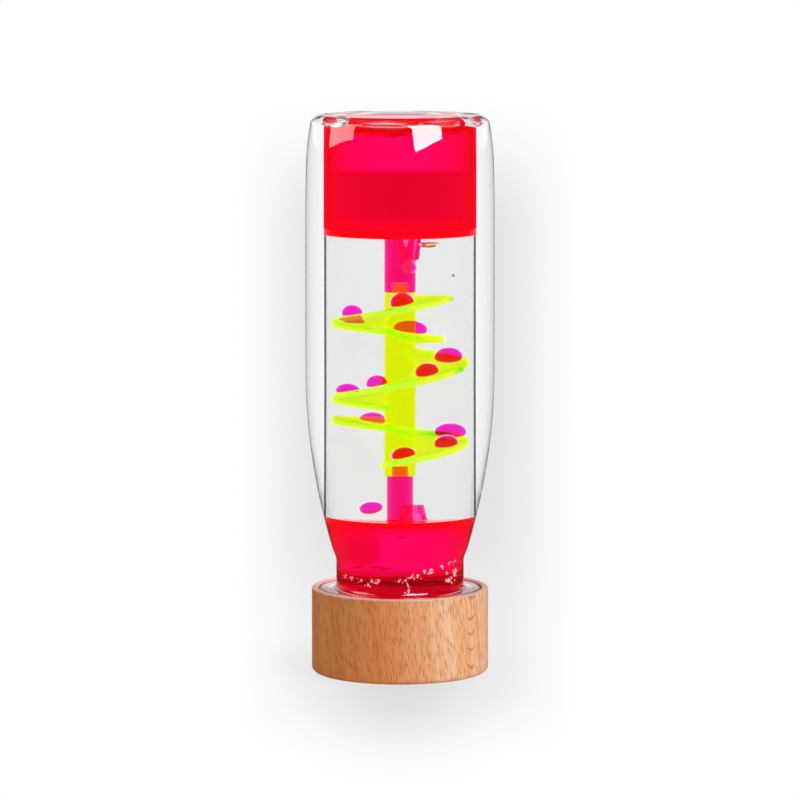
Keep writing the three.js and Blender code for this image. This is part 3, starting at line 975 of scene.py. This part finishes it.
def makePools():
    over, hollow = pools["overlap"], timer["boreRound"]
    wide, narrow = timer["cupBore"] + over, timer["ringBore"] + over
    low = pools["upperLow"] - over
    shelf = low + timer["ringHeight"]
    upper = [(0, low), (narrow, low), (narrow, shelf), (wide, shelf)] + poolSurface(wide, pools["upperHigh"])
    settle(turnedObject("upperPool", upper, [poolDye]), "bottle", "magenta_dye", "upper_dye_pool")
    low = pools["lowerLow"] - over
    lower = [(0, low)] + arcPoints((wide - hollow, low + hollow), hollow, -90, 0, 6)
    lower += poolSurface(wide, pools["lowerHigh"])
    settle(turnedObject("lowerPool", lower, [lowerPoolDye]), "bottle", "magenta_dye", "lower_dye_pool")


makePools()

# Darker patches in the cups: a cloud of deeper red in the lower cup, wisps and specks in both
traces = {
    "cloud": {"at": (-10.6, 0.0, 45.4), "half": (5.9, 8.0, 6.6), "squareness": 0.7},
    # middle, width, height, tilt
    "wisps": [
        ((-16.4, -4.0, 50.6), 1.6, 1.9, 20), ((0.4, -13.0, 49.6), 3.4, 1.0, 8),
        ((-12.6, -10.5, 38.2), 4.4, 1.3, -5), ((-7.0, -14.0, 38.6), 5.2, 1.5, 12),
        ((-4.4, -15.0, 37.9), 4.6, 1.1, -8), ((-13.8, 8.0, 184.4), 1.3, 1.3, 0),
        ((13.3, 9.0, 184.9), 1.6, 1.1, 15), ((15.0, 6.0, 184.2), 1.0, 1.2, 0),
        ((-1.0, 13.5, 184.0), 6.5, 2.2, 4), ((6.5, 13.0, 184.4), 5.0, 1.6, -6),
    ],
    "depth": 1.6,
    "sway": 0.35,
    "swayTurns": 3,
}


def makeTraces():
    part = traces["cloud"]

    def cloud(x, y, z):
        return tuple(c + h * math.copysign(abs(v) ** part["squareness"], v)
                     for c, h, v in zip(part["at"], part["half"], (x, y, z)))

    settle(ballObject("darkCloud", *ballMesh(24, 40, cloud), darkCloudFinish), "bottle", "magenta_dye")

    vertices, faces = [], []
    for middle, wide, tall, degrees in traces["wisps"]:
        tilt = Matrix.Rotation(math.radians(degrees), 3, "Y")

        def trace(x, y, z):
            bend = traces["sway"] * math.sin(traces["swayTurns"] * x) * tall / 2
            at = Vector((x * wide / 2, y * traces["depth"] / 2, z * tall / 2 + bend))
            return tuple(Vector(middle) + tilt @ at)

        joinInto(vertices, faces, *ballMesh(10, 20, trace))
    settle(ballObject("darkWisps", vertices, faces, darkWispFinish), "bottle", "magenta_dye")


makeTraces()

drops = {
    "foot": 0.3,
    "seam": 0.06,
    # by flight: degrees travelled on it, width, height, inset from its rim
    "rolling": [
        [(57, 7.1, 4.6, 3.5), (131, 5.9, 4.0, 3.5), (187, 5.6, 3.2, 3.5), (248.6, 7.3, 4.4, 3.5)],
        [(63, 7.1, 4.8, 4.9), (130.6, 6.9, 4.4, 3.5), (195, 6.2, 4.0, 3.5), (251, 6.5, 3.4, 3.5)],
        [(63, 5.6, 3.8, 3.5), (145, 7.3, 4.4, 3.5), (200, 6.8, 4.0, 3.5), (264, 7.2, 3.8, 3.5)],
    ],
    "falling": {"reach": 12.2, "bearing": -132, "height": 59.5, "wide": 6.8, "tall": 4.6, "tilt": 12,
                "under": 0.85},
    "forming": {"height": 141.4, "wide": 3.8, "tall": 4.6, "taper": 0.22},
}


def aroundAxis(reach, degrees, height):
    angle = math.radians(degrees)
    return Vector((reach * math.cos(angle), reach * math.sin(angle), height))


def dropObject(number, shape):
    node = "drop_%02d" % number
    piece = ballObject("dyeDrop%02d" % number, *ballMesh(20, 36, shape), dropDye)
    settle(piece, node, "magenta_dye", node)


def makeRollingDrop(number, run, travel, width, height, inset):
    track = flights["radius"] - inset
    slope = run["pitch"] / (2 * math.pi * track)
    outward = aroundAxis(1, run["bearing"] - travel, 0)
    downhill = Vector((outward.y, -outward.x, -slope)).normalized()
    upward = downhill.cross(outward)
    foot = outward * track + Vector((0, 0, flightHeight(run, travel)))
    foot += upward * (flights["thickness"] / 2 + drops["seam"])
    half, low = width / 2, drops["foot"]

    def resting(x, y, z):
        rise = low * (1 - math.sqrt(-z)) if z < 0 else low + (1 - low) * z
        return tuple(foot + downhill * x * half + outward * y * half + upward * rise * height)

    dropObject(number, resting)


def makeDrops():
    number = 0
    for run, row in zip(flights["runs"], drops["rolling"]):
        for drop in row:
            number += 1
            makeRollingDrop(number, run, *drop)

    fall = drops["falling"]
    middle = aroundAxis(fall["reach"], fall["bearing"], fall["height"])
    tilt = Matrix.Rotation(math.radians(-fall["tilt"]), 3, "Y")

    def sinking(x, y, z):
        rise = z if z > 0 else z * fall["under"]
        half = fall["wide"] / 2
        return tuple(middle + tilt @ Vector((x * half, y * half, rise * fall["tall"] / 2)))

    dropObject(number + 1, sinking)

    form = drops["forming"]
    hook = aroundAxis(spout["reach"], dividers["upper"]["bearing"], form["height"])

    def hanging(x, y, z):
        wide = form["wide"] / 2 * (1 - form["taper"] * z)
        return tuple(hook + Vector((x * wide, y * wide, z * form["tall"] / 2)))

    dropObject(number + 2, hanging)


makeDrops()
print("dye poured")


# Air in the liquid: froth in the neck, pockets under the punt, a bubble under the upper plate.
# Bearings are degrees from the front.
air = {
    "seed": 7,
    "ring": 19.98,
    "depth": 0.8,
    # bearing, height, size
    "neckString": [
        (-62, 34.4, 1.2), (-52, 34.0, 1.3), (-40, 33.8, 1.0), (-28, 33.9, 1.2), (-22, 33.8, 1.9),
        (-32, 32.4, 1.0), (-1, 34.2, 1.1), (5, 34.4, 0.9), (11, 35.6, 1.2), (17, 35.8, 1.4),
        (24, 37.0, 1.1), (31, 37.2, 1.9), (43, 38.6, 1.2), (53, 39.3, 1.1), (63, 39.8, 1.4),
    ],
    "crumbs": {"count": 3, "aside": (-4.5, 4.5), "above": (-1.0, 0.8), "size": (0.35, 0.75)},
    "heaps": [
        {"count": 22, "bearing": (48, 66), "height": (32.0, 36.5), "size": (0.7, 1.3)},
        {"count": 7, "bearing": (4, 9), "height": (29.5, 33), "size": (0.6, 1.0)},
    ],
    # bearing, half of the sweep, height
    "topPockets": [(-58, 16, 2.0), (-10, 21, 2.1), (31, 18, 2.0), (68, 13, 2.2)],
    "pocketRing": 24.7,
    "pocketReach": 2.6,
    "pocketTop": 190.3,
    "plateBubble": {"at": (7.8, -9.0, 149.4), "wide": 6.2, "tall": 3.4, "roof": 0.25},
    "speck": {"at": (13.2, 0.0, 137.8), "wide": 0.55, "tall": 1.0, "roof": 1.0},
}


def frothSpots():
    chance = random.Random(air["seed"])
    spots = list(air["neckString"])
    crumbs = air["crumbs"]
    for bearing, height, _ in air["neckString"]:
        for _ in range(crumbs["count"]):
            aside, above = chance.uniform(*crumbs["aside"]), chance.uniform(*crumbs["above"])
            spots.append((bearing + aside, height + above, chance.uniform(*crumbs["size"])))
    for heap in air["heaps"]:
        for _ in range(heap["count"]):
            spots.append(tuple(chance.uniform(*heap[key]) for key in ("bearing", "height", "size")))
    return spots


def makeFroth():
    vertices, faces = [], []
    for bearing, height, size in frothSpots():
        depth = min(size, air["depth"])
        middle = aroundAxis(air["ring"], bearing - 90, height)
        out, side = aroundAxis(1, bearing - 90, 0), aroundAxis(1, bearing, 0)

        def shape(x, y, z):
            return tuple(middle + side * x * size / 2 + out * y * depth / 2 + Vector((0, 0, z * size / 2)))

        ball, ballFaces = ballMesh(10, 16, shape)
        joinInto(vertices, faces, ball, [face[::-1] for face in ballFaces])
    settle(ballObject("neckBubbles", vertices, faces, airInFoam), "bottle", "clear_liquid")


def makePockets():
    vertices, faces = [], []
    for bearing, sweep, tall in air["topPockets"]:
        def pocket(x, y, z):
            sink = tall * (1 - z) / 2 if z < 0 else tall / 2 * math.sqrt(1 - z)
            reach = air["pocketRing"] + air["pocketReach"] * y
            return tuple(aroundAxis(reach, bearing + sweep * x - 90, air["pocketTop"] - sink))

        joinInto(vertices, faces, *ballMesh(20, 40, pocket))
    settle(ballObject("topPockets", vertices, faces, airInFill), "bottle", "clear_liquid")


def makeLens(name, finish):
    part = air[name]
    (middleX, middleY, middleZ), half = part["at"], part["wide"] / 2

    def lens(x, y, z):
        rise = z * part["roof"] if z > 0 else z
        return (middleX + x * half, middleY + y * half, middleZ + rise * part["tall"] / 2)

    settle(ballObject(name, *ballMesh(16, 32, lens), finish), "bottle", "clear_liquid")


makeFroth()
makePockets()
makeLens("plateBubble", airInOil)
makeLens("speck", darkSpeck)
print("bubbles left in")


# Stage: white floor with a painted grey shadow round the bottle, and soft lights
stage = {
    "floorReach": 15.0,
    "paint": 0.86,
    "room": 0.1,
    "gloss": 0.03,
    "horizon": 0.9,
    # strip above the floor's far edge that mirrors show, by a direction's height and depth
    "stripRise": (0.015, 0.04),
    "stripFall": (0.2, 0.3),
    "stripBehind": (0.3, 0.7),
}

# Painted shadow on the floor: grey that widens to the back and dies away far behind and in front of the
# bottle, and a painted contact shadow under and in front of the base
paintedShadow = {
    "dark": 0.24,
    "aside": 0.0025,
    "width": (0.025, 0.062),
    "widensFrom": -0.5,
    "far": (0.243, 0.435),
    "front": (-0.17, -0.02),
    "deepens": (0.1, 0.7),
    "nearShare": 0.5,
    "lampReach": (0.2, 0.6),
    "lampShare": 0.35,
    "contact": 0.16,
    "contactWidth": 0.036,
    "contactFront": (-0.22, -0.04),
    "contactBack": (-0.02, 0.0),
}


# Rays that have only passed through clear pieces
def passedRays(tree, path):
    straight = sums(tree, "LESS_THAN", path["Diffuse Depth"], 0.5)
    return sums(tree, "MULTIPLY", path["Is Transmission Ray"], straight)


def floorFinish():
    material, tree, shader = startMaterial("paleFloor")
    plus, minus, times, over = sumsOf(tree)
    calc, part = partial(sums, tree), partial(ranged, tree)
    setInputs(tree, shader, {"Base Color": (stage["paint"],) * 3, "Roughness": 0.8})
    x, y, _ = splitPlace(tree, objectPlace(tree))
    # painted shadow round the bottle
    spread = plus(over(calc("MAXIMUM", y, paintedShadow["widensFrom"]), view["distance"]), 1.0)
    aside = calc("ABSOLUTE", minus(over(x, spread), paintedShadow["aside"]))
    near = part(over(1.0, spread), *paintedShadow["far"])
    near = times(part(aside, *paintedShadow["width"], 1, 0), near)
    near = times(near, part(y, *paintedShadow["front"]))
    near = times(near, part(y, *paintedShadow["deepens"], paintedShadow["nearShare"], 1.0))
    tone = minus(1.0, times(near, paintedShadow["dark"]))
    # painted contact shadow under and in front of the base
    under = part(calc("ABSOLUTE", x), 0.0, paintedShadow["contactWidth"], 1, 0)
    under = times(under, part(y, *paintedShadow["contactFront"]))
    under = times(under, part(y, *paintedShadow["contactBack"], paintedShadow["contact"], 0.0))
    tone = minus(tone, under)

    # white to look at and through, dim in mirrors; near the bottle the lamps' own shadow shows
    path = addNode(tree, "LightPath").outputs
    seen, passed = path["Is Camera Ray"], passedRays(tree, path)
    mirrored = times(path["Is Glossy Ray"], minus(1.0, passed))
    level = plus(times(seen, tone), passed)
    level = plus(level, times(mirrored, stage["gloss"]))
    lit = times(near, part(y, *paintedShadow["lampReach"], paintedShadow["lampShare"], 0.0))
    share = minus(seen, times(seen, lit))
    share = plus(plus(share, passed), mirrored)
    showMix(tree, share, shader, addNode(tree, "Emission", {"Color": (1, 1, 1), "Strength": level}))
    return material


def makeFloor():
    reach = stage["floorReach"] / mm
    corners = [(-reach, -reach, 0), (reach, -reach, 0), (reach, reach, 0), (-reach, reach, 0)]
    meshObject("paleFloor", corners, [(0, 1, 2, 3)], [floorFinish()])


makeFloor()

# Lamps stand round the bottle; mirrored ones show only as bright patches on its wall
lamps = [
    {"name": "keyLight", "bearing": 55, "rise": 28, "away": 1.2, "size": (0.8, 0.8), "power": 14.5},
    {"name": "fillLight", "bearing": -60, "rise": 30, "away": 1.3, "size": (0.9, 0.9), "power": 3.6},
    {"name": "backLight", "bearing": -128, "rise": 25, "away": 1.2, "size": (0.9, 0.9), "power": 3.2},
    {"name": "keyShine", "bearing": 33, "rise": 30.2, "away": 0.9, "size": (0.62, 0.71), "power": 23.9,
     "mirrored": True, "roll": 8},
    {"name": "fillShine", "bearing": -83, "rise": 28, "away": 0.9, "size": (0.65, 0.7), "power": 6.3,
     "mirrored": True, "roll": 11},
]
lampMiddle = 0.19  # height that rise is measured from
lampAim = 0.15


def softbox(part):
    data = bpy.data.lights.new(part["name"], "AREA")
    data.shape = "RECTANGLE"
    data.size, data.size_y = part["size"]
    data.energy = part["power"]
    lamp = bpy.data.objects.new(part["name"], data)
    rise = math.radians(part["rise"])
    reach, height = part["away"] * math.cos(rise), part["away"] * math.sin(rise)
    lamp.location = aroundAxis(reach, part["bearing"] - 90, lampMiddle + height)
    scene.collection.objects.link(lamp)
    towards = Vector((0, 0, lampAim)) - lamp.location
    lamp.rotation_euler = towards.to_track_quat("-Z", "Y").to_euler()
    lamp.rotation_euler.rotate_axis("Z", math.radians(part.get("roll", 0)))
    lamp.visible_camera = False
    lamp.visible_transmission = False
    if part.get("mirrored"):
        lamp.visible_diffuse = False
    else:
        lamp.visible_glossy = False


for lampPart in lamps:
    softbox(lampPart)


# Room: white to look at and through, dim for what shiny faces mirror
def makeWorld():
    world = bpy.data.worlds.new("studio")
    scene.world = world
    world.use_nodes = True
    tree = world.node_tree
    times, highest = partial(sums, tree, "MULTIPLY"), partial(sums, tree, "MAXIMUM")
    part = partial(ranged, tree)
    _, depth, height = splitPlace(tree, addNode(tree, "TexCoord").outputs["Generated"])
    strip = times(part(height, *stage["stripRise"]), part(height, *stage["stripFall"], 1, 0))
    strip = times(strip, part(depth, *stage["stripBehind"], shape="LINEAR"))
    mirror = part(strip, 0, 1, stage["gloss"], stage["horizon"], "LINEAR")
    path = addNode(tree, "LightPath").outputs
    dim = part(path["Is Glossy Ray"], 0, 1, stage["room"], mirror, "LINEAR")
    white = highest(path["Is Camera Ray"], passedRays(tree, path))
    setInputs(tree, tree.nodes["Background"], {"Color": (1, 1, 1), "Strength": highest(white, dim)})


makeWorld()
print("stage set")
